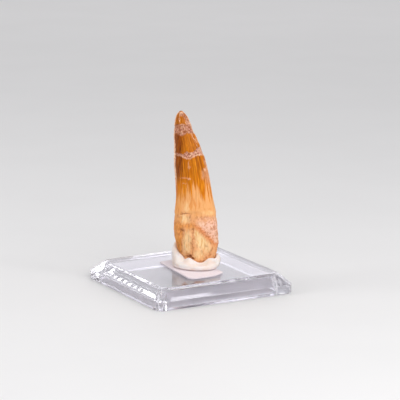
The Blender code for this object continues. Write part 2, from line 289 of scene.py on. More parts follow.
class Sheet:
    """The node sheet of one material: adds nodes and joins them."""

    def __init__(self, name: str) -> None:
        """Starts a material with its Principled shader."""
        self.material = bpy.data.materials.new(name)
        self.material.use_nodes = True
        self.tree = self.material.node_tree
        self.shader = self.tree.nodes["Principled BSDF"]

    def give(self, node: bpy.types.Node, inputs: dict) -> None:
        """Fills a node's inputs, each with a value or with another node's output."""
        for key, value in inputs.items():
            if isinstance(value, Socket):
                self.tree.links.new(value, node.inputs[key])
            else:
                node.inputs[key].default_value = value

    def add(self, kind: str, inputs: dict, **settings: object) -> bpy.types.Node:
        """Adds a node.

        Args:
            kind: the node's type.
            inputs: its inputs by name or place.
            settings: its own properties.

        Returns:
            The node.
        """
        node = self.tree.nodes.new(kind)
        for key, value in settings.items():
            setattr(node, key, value)
        self.give(node, inputs)
        return node

    def zone(self, name: str) -> Socket:
        """Reads an attribute of the mesh."""
        return self.add("ShaderNodeAttribute", {}, attribute_name=name).outputs["Fac"]

    def noise(self, size: float, stretch: float = 1.0, detail: float = 3.0) -> Socket:
        """Adds noise on Object coordinates.

        Args:
            size: width of its lumps in millimetres.
            stretch: how many times taller than wide they are.
            detail: how many finer layers it has.

        Returns:
            Values round 0.5.
        """
        place = self.add("ShaderNodeTexCoord", {}).outputs["Object"]
        scaled = self.add("ShaderNodeMapping", {"Vector": place, "Scale": (1, 1, 1 / stretch)})
        inputs = {"Vector": scaled.outputs[0], "Scale": 1 / (size * MM), "Detail": detail}
        return self.add("ShaderNodeTexNoise", inputs).outputs["Fac"]

    def between(self, value: Socket, low: float, high: float, start: float = 0.0,
                end: float = 1.0) -> Socket:
        """Eases from start to end while a value goes from low to high."""
        inputs = {"Value": value, "From Min": low, "From Max": high, "To Min": start, "To Max": end}
        kind = {"interpolation_type": "SMOOTHSTEP"}
        return self.add("ShaderNodeMapRange", inputs, **kind).outputs["Result"]

    def sum_or_product(self, operation: str, first: Socket, second: Socket) -> Socket:
        """Joins two values by ADD or MULTIPLY."""
        return self.add("ShaderNodeMath", {0: first, 1: second}, operation=operation).outputs[0]

    def mixed(self, share: object, first: object, second: object) -> Socket:
        """Mixes two colours, given as red, green and blue or as outputs."""
        colours = [(*c, 1.0) if isinstance(c, tuple) else c for c in (first, second)]
        inputs = {0: share, 6: colours[0], 7: colours[1]}
        return self.add("ShaderNodeMix", inputs, data_type="RGBA").outputs[2]

    def blended(self, share: object, first: object, second: object) -> Socket:
        """Mixes two values."""
        return self.add("ShaderNodeMix", {0: share, 2: first, 3: second}, data_type="FLOAT").outputs[0]

    def glow(self, weight: float, depth: float, reach: Colour) -> None:
        """Scatters light under the surface, to a depth in millimetres times each colour's reach."""
        inputs = {"Weight": weight, "Scale": depth * MM, "Radius": reach}
        self.give(self.shader, {f"Subsurface {name}": value for name, value in inputs.items()})

    def bumped(self, height: Socket, depth: float, strength: float) -> None:
        """Roughens the shader's normal by a height from 0 to 1, times a depth in millimetres."""
        inputs = {"Height": height, "Distance": depth * MM, "Strength": strength}
        bump = self.add("ShaderNodeBump", inputs)
        self.give(self.shader, {"Normal": bump.outputs["Normal"]})


# Finishes


class Zone(Enum):
    """A zone of the tooth's surface; the value names the mesh's attribute that holds it."""

    DEEP_AND_SHADE = "deep_amber_and_shade"
    DENTINE = "bare_dentine"
    ROOT = "root_crust"
    CREAM = "cream_core"
    OCHRE = "ochre_skin"
    MATRIX = "rock_matrix"
    RUST = "rust_stain"
    FILLER = "mending_filler"
    WEAR_AND_HIGHLIGHTS = "pale_wear_and_highlights"
    DARK = "dark_pits_and_shadow"


@dataclass(frozen=True)
class Coat:
    """One of the tooth's colours, laid where its zone is strong over the coats before it."""

    zone: Zone
    colour: Colour
    fleck: Colour
    fleck_size: float
    fleck_share: float
    roughness: float
    stretch: float = 1.0
    patchy: float = 0.3


@dataclass(frozen=True)
class FossilEnamel:
    """Amber enamel with its worn places, stains and mends, and painted shade, highlights and shadow."""

    amber: Colour = linear(202, 110, 0)
    bright: Colour = linear(226, 138, 18)
    roughness: float = 0.34
    # Sizes of noise, two of them with how many times taller it is
    streaks: Pair = (0.45, 24.0)
    crown_relief: Pair = (0.25, 12.0)
    root_relief: float = 0.3
    patch_size: float = 0.35
    # Where flecks begin and are full, counted from each coat's share
    fleck_edges: Pair = (-0.06, 0.1)
    relief_depth: float = 0.08
    relief_strength: float = 0.4
    gloss: float = 0.15
    coats: tuple[Coat, ...] = (
        # Deep amber, also laid as painted shade on the left side and in the flutes' valleys
        Coat(Zone.DEEP_AND_SHADE, linear(138, 64, 0), linear(110, 50, 0), 0.45, 0.54, 0.34, 14.0),
        Coat(Zone.DENTINE, linear(236, 172, 110), linear(226, 150, 82), 0.8, 0.56, 0.5, 7.0, 0.1),
        Coat(Zone.ROOT, linear(236, 172, 120), linear(206, 136, 84), 0.9, 0.54, 0.7, 1.6, 0.1),
        Coat(Zone.CREAM, linear(255, 222, 168), linear(240, 182, 116), 0.8, 0.54, 0.62, 5.0, 0.2),
        Coat(Zone.OCHRE, linear(232, 152, 70), linear(198, 118, 52), 0.9, 0.54, 0.6, 2.4, 0.25),
        Coat(Zone.MATRIX, linear(242, 196, 172), linear(206, 144, 112), 0.8, 0.5, 0.85, 1.0, 0.35),
        Coat(Zone.RUST, linear(228, 144, 86), linear(198, 108, 58), 0.8, 0.54, 0.75, 1.0, 0.5),
        Coat(Zone.FILLER, linear(212, 154, 136), linear(142, 86, 60), 0.7, 0.49, 0.85, 1.0, 0.2),
        # Pale worn places, also laid as painted highlights on the edges, along the seam and on the mends
        Coat(Zone.WEAR_AND_HIGHLIGHTS, linear(244, 202, 170), linear(230, 170, 136), 0.6, 0.56, 0.5, 1.5, 0.25),
        # Dark pits and spots, also laid as painted shadow by the putty's rim at the front left
        Coat(Zone.DARK, linear(168, 102, 60), linear(124, 72, 42), 0.6, 0.55, 0.8, 1.0, 0.2),
    )

    def material(self) -> Material:
        """Lays the coats one over the other.

        Each coat mixes its colour with its flecks by stretched noise, then covers the coats below it by
        its zone, thinned in patches by finer noise.

        Returns:
            The material.
        """
        sheet = Sheet("fossil_enamel_and_root")
        streaks = sheet.between(sheet.noise(*self.streaks), 0.35, 0.65)
        colour = sheet.mixed(streaks, self.amber, self.bright)
        roughness: object = self.roughness
        for coat in self.coats:
            grain = sheet.noise(coat.fleck_size, coat.stretch, detail=4.0)
            fleck = sheet.between(grain, *(coat.fleck_share + edge for edge in self.fleck_edges))
            own = sheet.mixed(fleck, coat.colour, coat.fleck)
            patches = sheet.noise(self.patch_size, coat.stretch)
            thinned = sheet.between(patches, 0.3, 0.6, 1 - coat.patchy, 1.0)
            cover = sheet.sum_or_product("MULTIPLY", sheet.zone(coat.zone.value), thinned)
            colour = sheet.mixed(cover, colour, own)
            roughness = sheet.blended(cover, roughness, coat.roughness)
        on_root = sheet.noise(self.root_relief, detail=5.0)
        relief = sheet.blended(sheet.zone(ROUGH_SKIN), sheet.noise(*self.crown_relief), on_root)
        sheet.bumped(relief, self.relief_depth, self.relief_strength)
        inputs = {"Base Color": colour, "Roughness": roughness, "Specular IOR Level": self.gloss}
        sheet.give(sheet.shader, inputs)
        sheet.glow(weight=0.06, depth=1.2, reach=(1.0, 0.45, 0.2))
        return sheet.material


@dataclass(frozen=True)
class WhitePutty:
    """Soft white putty: matt, a little see-through, warm where it is thick."""

    white: Colour = linear(241, 233, 228)
    warm: Colour = linear(234, 217, 205)
    roughness: Pair = (0.45, 0.65)
    tone_size: float = 4.0
    sheen_size: float = 1.6
    relief_sizes: Pair = (0.5, 2.2)

    def material(self) -> Material:
        """Mixes the two whites by broad noise, with a fine grain in the bump."""
        sheet = Sheet("white_putty_skin")
        tone = sheet.between(sheet.noise(self.tone_size), 0.4, 0.7)
        colour = sheet.mixed(tone, self.white, self.warm)
        grain, dents = (sheet.noise(size) for size in self.relief_sizes)
        sheet.bumped(sheet.sum_or_product("ADD", grain, dents), depth=0.06, strength=0.6)
        rough = sheet.between(sheet.noise(self.sheen_size), 0.3, 0.7, *self.roughness)
        sheet.give(sheet.shader, {"Base Color": colour, "Roughness": rough})
        sheet.glow(weight=0.25, depth=1.5, reach=(1.0, 0.8, 0.6))
        return sheet.material


@dataclass(frozen=True)
class CutPaper:
    """White paper with a faint lilac cast and pressed fibres."""

    white: Colour = linear(244, 233, 236)
    shade: Colour = linear(233, 220, 225)
    roughness: float = 0.8
    fibre_size: float = 0.35

    def material(self) -> Material:
        """Mixes the two whites by fibre-like noise, which also makes the bump."""
        sheet = Sheet("white_paper_fibres")
        fibres = sheet.noise(self.fibre_size, detail=6.0)
        colour = sheet.mixed(sheet.between(fibres, 0.4, 0.7), self.white, self.shade)
        sheet.bumped(fibres, depth=0.05, strength=0.5)
        sheet.give(sheet.shader, {"Base Color": colour, "Roughness": self.roughness})
        return sheet.material


@dataclass(frozen=True)
class ClearPlastic:
    """Clear moulded plastic, polished, with faint handling marks."""

    tint: Colour = linear(249, 247, 254)
    index: float = 1.54
    roughness: Pair = (0.015, 0.07)
    scuff_size: float = 0.6
    wave_size: float = 9.0

    def material(self) -> Material:
        """Lets light through faintly wavy faces, and roughens their polish in small scuffs."""
        sheet = Sheet("clear_moulded_plastic")
        scuffs = sheet.between(sheet.noise(self.scuff_size, detail=5.0), 0.6, 0.75, *self.roughness)
        sheet.bumped(sheet.noise(self.wave_size, detail=0.0), depth=0.012, strength=0.25)
        sheet.give(sheet.shader, {"Base Color": (*self.tint, 1.0), "Roughness": scuffs})
        sheet.give(sheet.shader, {"Transmission Weight": 1.0, "IOR": self.index})
        return sheet.material


@dataclass(frozen=True)
class PaleFloor:
    """A plain pale table top with a faint mottle."""

    pale: Colour = linear(238, 237, 236)
    shade: Colour = linear(237, 236, 235)
    roughness: float = 0.6
    mottle_size: float = 60.0

    def material(self) -> Material:
        """Mixes two close greys by broad noise."""
        sheet = Sheet("pale_floor")
        tone = sheet.between(sheet.noise(self.mottle_size), 0.4, 0.6)
        colour = sheet.mixed(tone, self.pale, self.shade)
        sheet.give(sheet.shader, {"Base Color": colour, "Roughness": self.roughness})
        return sheet.material


# Where the tooth stands


@dataclass(frozen=True)
class Stand:
    """Where the tooth and its putty stand on the base, and how far they are turned."""

    point: tuple[float, float] = (0.3, -4.4)
    turn: float = math.radians(-29)

    def place(self, points: Array, height: float) -> Array:
        """Turns points about the vertical, then moves them to the stand and up."""
        turned = points @ np.array(Matrix.Rotation(self.turn, 3, "Z")).T
        return turned + np.array([*self.point, height])


def height_of(node: str, corner: int) -> float:
    """Reads a node's lowest (0) or highest (1) point from the frame, in millimetres."""
    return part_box(node)[corner].z / MM


# The tooth


@dataclass
class Tooth:
    """The fossil tooth: sizes, relief, zones of colour and mesh."""

    stand: Stand
    finish: FossilEnamel = FossilEnamel()
    # Sections: height above the broken root, lean of the centre, half of the width
    sections: Rows = (
        (0.0, 0.9, 5.2), (1.9, 1.05, 6.5), (4.5, 0.78, 7.6), (8.4, 0.35, 8.5), (15.4, -0.19, 8.71),
        (20.2, -0.26, 8.15), (25.0, -0.45, 7.27), (34.6, -1.43, 6.52), (39.4, -2.16, 6.14),
        (44.2, -2.88, 5.47), (48.9, -3.89, 4.44), (52.5, -4.81, 3.74), (56.0, -5.31, 2.83),
        (58.4, -5.65, 1.98), (59.6, -5.85, 1.2), (60.2, -5.95, 0.65),
    )
    full_height: float = 60.5
    root_flatness: float = 0.74
    tip_flatness: float = 0.88
    backward_bow: float = 1.2
    columns: int = 360
    rows: int = 264
    dome_rows: int = 5
    tip_crowding: float = 1.2

    # Most pairs are heights, places across, angles or values of grain, between which something
    # comes or goes

    # Enamel: flutes and fine striae along the crown, a cutting ridge down each edge
    flutes: int = 18
    fine_flutes: int = 38
    fine_share: float = 0.6
    flute_turn: float = math.radians(5)
    flute_wander: float = 0.9
    fine_wander: float = 2.2
    flute_depth_share: float = 0.03
    flutes_start: Pair = (21.0, 29.0)
    flutes_end: Pair = (50.0, 57.0)
    striae_depth: float = 0.07
    striae_start: Pair = (20.0, 28.0)
    ridge_height: float = 0.3
    ridge_spread: float = math.radians(6)
    ridge_angles: Pair = (math.radians(186), math.radians(-28))
    ridges_start: Pair = (16.0, 26.0)

    # The enamel's foot ends in fingers. Its amber is deep by shares: everywhere, in streaks, in the
    # flutes' valleys as painted shade, and on the crown. Painted shade deepens it all over on the left,
    # beyond a leaning line
    enamel_foot: float = 21.8
    finger_rise: float = 9.5
    fluted_fingers: float = 0.3
    streak_gain: float = 1.3
    foot_swing: float = 3.0
    bare_right: float = 0.8
    right_half: Pair = (-3.0, 3.0)
    enamel_fade: Pair = (-2.0, 3.0)
    crown: Pair = (31.0, 40.0)
    deep_shares: tuple[float, ...] = (0.04, 0.6, 0.2, 0.3)
    dark_side: Pair = (6.4, 9.4)
    dark_lean: float = 0.05
    dark_start: Pair = (29.0, 40.0)
    dark_end: Pair = (50.0, 53.0)
    dark_end_share: float = 0.8

    # Pale edges, worn and painted with a highlight: one broad strip on the left, and on the right dashes
    # under a strip at the tip
    rim_reach: Pair = (math.radians(4), math.radians(12))
    rim_swing: float = math.radians(5)
    rim_hind_share: float = 2.0
    rim_start: Pair = (28.0, 36.0)
    dash_reach: Pair = (0.14, 0.32)
    dash_gaps: Pair = (0.42, 0.6)
    dash_start: Pair = (28.0, 34.0)
    tip_reach: Pair = (0.25, 0.5)
    tip_start: Pair = (51.0, 53.0)
    tip_share: float = 0.9

    # The viewer's angle, the raggedness of all borders, and how far the back's marks are shifted
    seen_from: float = math.radians(12.3)
    ragged: float = 0.45
    back_shift: float = 1.8
    back_shift_height: float = 6.0
    back_lift: float = 2.2
    back_lift_swing: float = 1.6
    back_lift_turn: float = 0.7

    # The rough collar near the tip, and the edges of the wavy seam: across, lower, upper
    collar: Pair = (51.7, 55.1)
    collar_dip: Mark = Mark(-5.8, 51.4, 1.5, 1.2, 0.9)
    collar_softness: float = 0.35
    seam_softness: float = 0.3
    seam_edges: Rows = (
        (-8.5, 43.3, 43.9), (-7.4, 43.1, 43.7), (-6.2, 42.7, 43.4), (-5.0, 42.1, 43.5),
        (-3.6, 41.5, 44.4), (-2.2, 41.7, 43.9), (-1.0, 42.5, 44.3), (0.3, 43.0, 45.7),
        (1.5, 43.2, 46.5), (3.2, 43.6, 45.6),
    )
    # Spread of the painted highlights along the seam's lower and upper edge
    seam_glints: Pair = (0.26, 0.22)
    seam_side: Pair = (-8.6, -7.2)
    filler_sink: float = 0.22
    filler_grain: float = 0.16
    filler_pits: Pair = (0.6, 0.85)
    # Grain values between which pale flecks, painted as highlights, appear on the mends
    filler_lights: Pair = (0.64, 0.85)

    # Broken root: angle, height, spread in angle, spread in height, rise (degrees and millimetres)
    root_forms: Rows = (
        (-61, 15.4, 24, 3.6, 0.5), (-114, 17.3, 7, 1.6, -0.5), (-132, 12.9, 8, 1.5, -0.6),
        (-98, 13.2, 6, 1.3, -0.5), (-77, 7.9, 15, 4.0, -0.7), (-112, 7.6, 9, 4.4, -0.6),
        (-30, 8.0, 9, 2.2, -0.4), (-6, 8.4, 9, 1.2, 0.35), (60, 15.0, 22, 4.0, 0.5),
        (112, 9.0, 16, 4.6, -0.7), (20, 17.5, 12, 2.0, -0.5), (150, 17.0, 10, 2.4, 0.35),
    )
    root_grip: Pair = (0.0, 5.0)
    root_end: Pair = (-1.0, 2.0)
    tip_end: Pair = (59.4, 60.4)
    ledge_depth: float = 0.25
    ledge_height: float = 20.4
    ledge_waves: int = 3
    ledge_swing: float = 1.3
    ledge_softness: float = 0.6
    root_grain: float = 0.2
    crust_grain: float = 0.09
    pit_depth: float = 0.1
    pale_zone_rise: float = 0.05

    # The root's colours: its top, the rust line and the crust over it, and the ochre skin on the left
    root_top: float = 19.4
    root_fade: float = 1.6
    root_swing: float = 2.4
    rust_height: float = 14.4
    rust_slope: float = -0.85
    rust_spread: float = 1.2
    rust_side: Pair = (-1.4, 0.2)
    crust_side: Pair = (-0.6, 2.2)
    crust_start: Pair = (-0.8, 1.2)
    crust_end: Pair = (15.6, 19.6)
    ochre_side: Pair = (5.2, 6.4)
    ochre_thins: Pair = (15.0, 19.0)
    ochre_end: Pair = (23.0, 29.0)
    ochre_band_height: float = 14.9
    ochre_band_spread: float = 1.3
    ochre_band_side: Pair = (-1.0, 1.5)
    pores: Pair = (0.76, 0.95)

    # Marks seen from the front: across, height, half width, half height, strength and lean
    pale_marks: tuple[Mark, ...] = marks(
        (-5.9, 59.8, 0.8, 0.5), (-6.55, 57.6, 0.16, 2.0, 0.9), (-3.9, 55.8, 0.3, 0.5, 0.7, -0.5),
        (-2.7, 55.6, 0.18, 2.6, 0.7, -0.5), (-5.5, 55.15, 1.1, 0.2, 0.8), (-7.4, 52.9, 0.4, 0.5, 0.8),
        (-5.8, 51.4, 0.7, 0.3, 0.6), (1.6, 45.0, 0.8, 0.7, 0.7), (4.3, 35.5, 0.9, 4.0, 0.35, -0.12),
        (-1.0, 49.9, 0.16, 1.9, 0.8, -0.62), (-0.4, 47.9, 0.14, 1.3, 0.6, -0.62),
        (-1.8, 50.6, 0.12, 1.3, 0.5, -0.62), (-2.3, 38.2, 0.25, 0.5, 0.4, 0.4),
        (3.4, 39.6, 0.2, 2.0, 0.6, -0.25), (3.3, 37.4, 0.35, 1.0, 0.8),
        (2.7, 35.2, 0.8, 1.8, 0.35, -0.1), (-4.4, 34.0, 2.0, 0.2, 0.45), (-2.7, 33.6, 0.6, 0.35, 0.6),
        (-4.6, 31.7, 1.1, 0.18, 0.35), (-3.3, 17.2, 0.5, 1.3, 0.4, -0.25), (8.1, 9.0, 0.5, 1.0, 0.8),
        (-2.9, 39.0, 0.2, 2.2, 0.35), (2.2, 15.6, 1.4, 1.1, 0.6),
    )
    cream: tuple[Mark, ...] = marks(
        (-4.9, 17.4, 2.0, 2.2, 0.7, -0.1), (-3.4, 17.4, 0.8, 1.7, 1.0, -0.25),
        (-3.6, 8.3, 1.7, 5.4, 0.75, 0.05), (0.2, 11.6, 1.0, 1.8), (2.2, 8.2, 2.3, 3.6, 1.0, -0.1),
        (3.9, 6.4, 2.2, 2.6, 0.7), (1.2, 3.2, 2.2, 2.0, 0.7), (-3.7, 22.2, 1.0, 2.3, 0.45),
        (4.6, 20.2, 2.6, 1.0, 0.4),
    )
    worn_tip: tuple[Mark, ...] = marks((-3.3, 56.4, 0.8, 3.0, 1.0, -0.53), (-5.6, 59.2, 0.9, 0.7))
    dark: tuple[Mark, ...] = marks(
        (-4.3, 19.65, 1.9, 0.16, 0.9), (-5.8, 13.2, 0.9, 0.9, 0.7), (-6.2, 11.6, 0.35, 0.5, 0.6),
        (-1.35, 13.4, 0.4, 0.4, 0.8), (-1.45, 8.6, 0.16, 4.4, 0.6), (-3.3, 9.6, 0.14, 3.4, 0.5, 0.02),
        (-4.5, 7.4, 0.12, 3.0, 0.4), (-5.5, 19.8, 0.5, 0.4, 0.5), (-2.4, 18.6, 0.22, 1.0, 0.5, 0.3),
        # Painted shadow: the marks at (-3.0, 2.4) and (-1.5, 1.7), and the leaning one at (-3.1, 3.6),
        # darken the gap and cavity where the chipped foot meets the putty
        (-3.0, 2.4, 1.2, 0.45), (-1.5, 1.7, 0.9, 0.35, 0.9), (1.9, 6.2, 0.5, 0.5, 0.35),
        (4.6, 6.6, 0.7, 0.35, 0.45, -0.8), (5.6, 8.4, 0.3, 0.9, 0.5, -0.6), (2.6, 4.6, 0.35, 0.5, 0.35),
        (4.2, 10.9, 0.3, 0.8, 0.5, -1.2), (-6.9, 6.9, 0.3, 0.7, 0.6), (-6.0, 4.4, 0.3, 0.8, 0.6, 0.3),
        (3.9, 43.0, 0.2, 0.8, 0.4, -0.2), (-3.1, 3.6, 0.5, 0.55, 1.0, -2.6),
        (-7.3, 54.0, 0.45, 0.35, 0.9), (-5.0, 54.2, 0.4, 0.35, 0.8), (-3.5, 53.5, 0.4, 0.45, 0.6),
        (0.2, 44.7, 0.5, 0.4, 0.9),
    )
    chips: tuple[Mark, ...] = marks(
        (-3.0, 2.5, 1.3, 0.6), (-1.5, 1.8, 1.1, 0.5, 0.8), (-3.6, 17.3, 0.7, 1.3, 0.35, -0.15),
        (-4.3, 19.5, 1.9, 0.2, 0.25), (-5.8, 13.1, 0.9, 0.9, 0.3), (-1.35, 13.4, 0.45, 0.45, 0.35),
    )
    chip_depth: float = 1.0

    def half_width_at(self, heights: Array) -> Array:
        """Reads half of the width from the sections, and rounds the last stretch into a dome."""
        rows = np.array(self.sections)
        top, last = rows[-1, 0], rows[-1, 2]
        dome = np.clip((heights - top) / (self.full_height - top), 0.0, 1.0)
        read = curve_through(rows[:, 0], rows[:, 2], np.minimum(heights, top))
        return np.where(heights > top, last * np.sqrt(1 - dome**2), read)

    def outline(self, angles: Array, heights: Array) -> Array:
        """Gives the smooth surface: ellipses that lean, bow backwards and narrow to the tip.

        Across = lean + half width x cos(angle). Behind = bow + half depth x sin(angle), where the half
        depth is a share of the half width that grows with height, and the bow grows with its square.

        Args:
            angles: angle of each point.
            heights: height of each point.

        Returns:
            Across, behind and height of each point.
        """
        rows = np.array(self.sections)
        lean = curve_through(rows[:, 0], rows[:, 1], np.minimum(heights, rows[-1, 0]))
        half_width = self.half_width_at(heights)
        share = heights / self.full_height
        flatness = self.root_flatness + (self.tip_flatness - self.root_flatness) * share
        x = lean + half_width * np.cos(angles)
        y = self.backward_bow * share**2 + half_width * flatness * np.sin(angles)
        return np.stack(np.broadcast_arrays(x, y, heights), axis=-1)

    def grid(self) -> tuple[Array, Array]:
        """Lays out angles and heights, the rows closer together towards the tip."""
        top = self.sections[-1][0]
        rising = top * (1 - (1 - np.linspace(0, 1, self.rows)) ** self.tip_crowding)
        swing = np.linspace(0, math.pi / 2, self.dome_rows + 2)[1:-1]
        heights = np.concatenate([rising, top + (self.full_height - top) * np.sin(swing)])
        angles = np.linspace(0, FULL_TURN, self.columns, endpoint=False)
        return np.meshgrid(angles, heights)

    def seen(self, angles: Array, heights: Array) -> Points:
        """Tells where each point appears to someone who looks at the front from a little above.

        What is nearer appears lower by its distance times the tangent of the viewing angle. The back
        repeats the front's marks, carried up and sideways by a warp that is nothing at the tooth's
        edges, and noise makes every border ragged.

        Args:
            angles: angle of each point.
            heights: height of each point.

        Returns:
            The points, each with its place across and its apparent height.
        """
        surface = self.outline(angles, heights)
        behind = np.maximum(np.sin(angles), 0)
        sideways = behind * self.back_shift * np.sin(heights / self.back_shift_height)
        swing = self.back_lift_swing * np.sin(2 * angles + self.back_lift_turn)
        upward = behind * (self.back_lift + swing)
        across = surface[..., 0] + sideways
        across = across + self.ragged * Grain(70, 1.1, 21).layered(angles, heights)
        level = heights + surface[..., 1] * math.tan(self.seen_from) + upward
        level = level + self.ragged * Grain(90, 1.4, 31).layered(angles, heights)
        return Points(angles, heights, across, level)

    def fluting(self, at: Points) -> Array:
        """Waves from 0 in the valleys to 1 on the flutes, fine ones on broad, wandering with height."""
        wander = at.grain(9, 0.06, 5, 2)
        turned = at.angles - self.flute_turn
        broad = np.cos(self.flutes * turned + self.flute_wander * wander)
        fine = np.cos(self.fine_flutes * turned + self.fine_wander * wander)
        return 0.5 + 0.5 * ((1 - self.fine_share) * broad + self.fine_share * fine)

    def enamel_zones(self, at: Points) -> dict[Zone, Array]:
        """Ends the enamel in fingers over bare dentine, and deepens its amber.

        The fingers follow the flutes and the streaks. Painted shade darkens the left side beyond a leaning
        line, and the flutes' valleys.

        Args:
            at: the points.

        Returns:
            Strength of deep amber with its painted shade, and of bare dentine, 0 to 1.
        """
        fluting, streaks = self.fluting(at), at.grain(88, 0.08, 41)
        streaky = np.clip(0.5 + self.streak_gain * streaks, 0, 1)
        finger = self.fluted_fingers * fluting + (1 - self.fluted_fingers) * streaky
        foot = self.enamel_foot + self.finger_rise * finger + self.foot_swing * at.grain(23, 0.05, 44, 2)
        foot = foot + self.bare_right * ease(*self.right_half, at.across)
        enamel = ease(*self.enamel_fade, at.level - foot)
        everywhere, streaked, in_valleys, on_crown = self.deep_shares
        # The flutes' valleys get deeper amber as painted shade
        deep = everywhere + streaked * streaks + in_valleys * (1 - fluting)
        deep = deep + on_crown * ease(*self.crown, at.heights)
        # Painted shade: darker all over on the left, beyond a leaning line, over the upper crown
        left = ease(*self.dark_side, self.dark_lean * at.heights - at.across)
        left = left * ease(*self.dark_start, at.heights)
        left = left * (1 - self.dark_end_share * ease(*self.dark_end, at.heights))
        return {Zone.DEEP_AND_SHADE: np.clip(deep + left, 0, 1) * enamel, Zone.DENTINE: 1 - enamel}

    def root_zones(self, at: Points, blotch: Array) -> dict[Zone, Array]:
        """Lays the root's crusts over it.

        A slanting line of rust crosses the root's right half, with a pale rock crust over it. An ochre
        skin covers the left side, and joins a band across the middle.

        Args:
            at: the points.
            blotch: broad grain that pushes every border to and fro.

        Returns:
            Strength of each of the root's zones, 0 to 1.
        """
        across, level = at.across, at.level
        root = 1 - ease(-self.root_fade, self.root_fade, level - self.root_top - self.root_swing * blotch)
        over_rust = level - self.rust_height - self.rust_slope * across
        rust = bell(over_rust + 0.8 * blotch, self.rust_spread) * ease(*self.rust_side, across) * root
        crust = ease(*self.crust_side, across + 1.2 * blotch) * ease(*self.crust_start, over_rust + blotch)
        crust = crust * root * (1 - ease(*self.crust_end, level + 2.0 * blotch))
        ochre = ease(*self.ochre_side, -across) * (0.9 + 0.3 * blotch)
        ochre = ochre * (1 - 0.55 * ease(*self.ochre_thins, level)) * (1 - ease(*self.ochre_end, level))
        ochre_band = bell(level - self.ochre_band_height, self.ochre_band_spread)
        ochre_band = 0.75 * ochre_band * ease(*self.ochre_band_side, -across) * root
        return {
            Zone.ROOT: root,
            Zone.CREAM: strongest(self.cream, across, level) * (1 - crust),
            Zone.OCHRE: np.maximum(ochre, ochre_band),
            Zone.MATRIX: crust,
            Zone.RUST: rust,
        }

    def worn_and_highlit_edges(self, at: Points) -> Array:
        """Pales the left edge in one ragged strip, and the right edge in dashes and at the tip.

        The pale is wear on the cutting edges together with a painted edge highlight.

        Args:
            at: the points.

        Returns:
            Strength of the pale edges, worn and painted as a highlight, 0 to 1.
        """
        left = angle_from(at.angles, self.ridge_angles[0])
        left = np.where(left > 0, left, -self.rim_hind_share * left)
        left = left - self.rim_swing * (at.grain(70, 0.9, 53) + at.grain(5, 0.22, 54, 2))
        strip = (1 - ease(*self.rim_reach, left)) * ease(*self.rim_start, at.heights)
        right = np.abs(angle_from(at.angles, 0.0))
        dashes = (1 - ease(*self.dash_reach, right)) * ease(*self.dash_start, at.heights)
        dashes = dashes * at.specks(Grain(60, 0.9, 51), *self.dash_gaps)
        tip = self.tip_share * (1 - ease(*self.tip_reach, right)) * ease(*self.tip_start, at.heights)
        return np.max([strip, dashes, tip], axis=0)

    def zones(self, at: Points) -> dict[Zone, Array]:
        """Works out how strong each zone is at each point: enamel, root, mends, worn marks and pits.

        The mends fill the wavy seam, the collar and the worn tip. Painted highlights run along the seam's
        edges and fleck the mends, the pale edges carry a painted highlight, and painted shadow lies in the
        gap above the putty at the front left.

        Args:
            at: the points.

        Returns:
            Strength of each zone, 0 to 1.
        """
        across, level = at.across, at.level
        blotch = at.grain(16, 0.35, 46)
        zones = self.enamel_zones(at) | self.root_zones(at, blotch)
        row = np.array(self.seam_edges)
        reach = np.clip(across, row[0, 0], row[-1, 0])
        lower, upper = (curve_through(row[:, 0], heights, reach) for heights in row[:, 1:].T)
        seam = band(level, lower, upper, self.seam_softness)
        floor = self.collar[0] - self.collar_dip.at(across, level)
        collar = band(level, floor, self.collar[1], self.collar_softness)
        tip = strongest(self.worn_tip, across, level)
        filler = np.clip(seam + collar + 0.85 * tip, 0, 1)

        # Painted highlights along the seam's lower and upper edges
        low_glint, high_glint = self.seam_glints
        glints = bell(level - lower, low_glint) + 0.7 * bell(level - upper, high_glint)
        glints = np.clip(glints * (0.75 + 0.5 * blotch), 0, 1) * ease(*self.seam_side, across)
        glints = 0.8 * glints * ease(0.2, 0.8, seam + bell(level - lower, 0.5))
        # Pale flecks over the mends, painted as highlights
        lights = 0.7 * at.specks(Grain(52, 1.4, 65), *self.filler_lights) * filler
        # The pale zone: listed pale marks, the pale edges and the painted highlights
        listed_pale_marks = strongest(self.pale_marks, across, level)
        pale_marks = np.max([listed_pale_marks, self.worn_and_highlit_edges(at), glints, lights], axis=0)

        covered = np.maximum(0.95 * zones[Zone.CREAM], 0.7 * zones[Zone.MATRIX])
        pores = at.specks(Grain(80, 1.3, 61), *self.pores) * zones[Zone.ROOT] * (1 - covered)
        stains = (0.4 + 0.5 * blotch) * collar + 0.15 * tip
        pits = 0.8 * at.specks(Grain(44, 1.2, 63), *self.filler_pits) * filler
        # The listed dark marks include painted shadow in the gap above the putty at the front left
        dark = np.max([strongest(self.dark, across, level), 0.35 * pores, stains, pits], axis=0)
        return zones | {Zone.FILLER: filler, Zone.WEAR_AND_HIGHLIGHTS: pale_marks, Zone.DARK: np.clip(dark, 0, 1)}

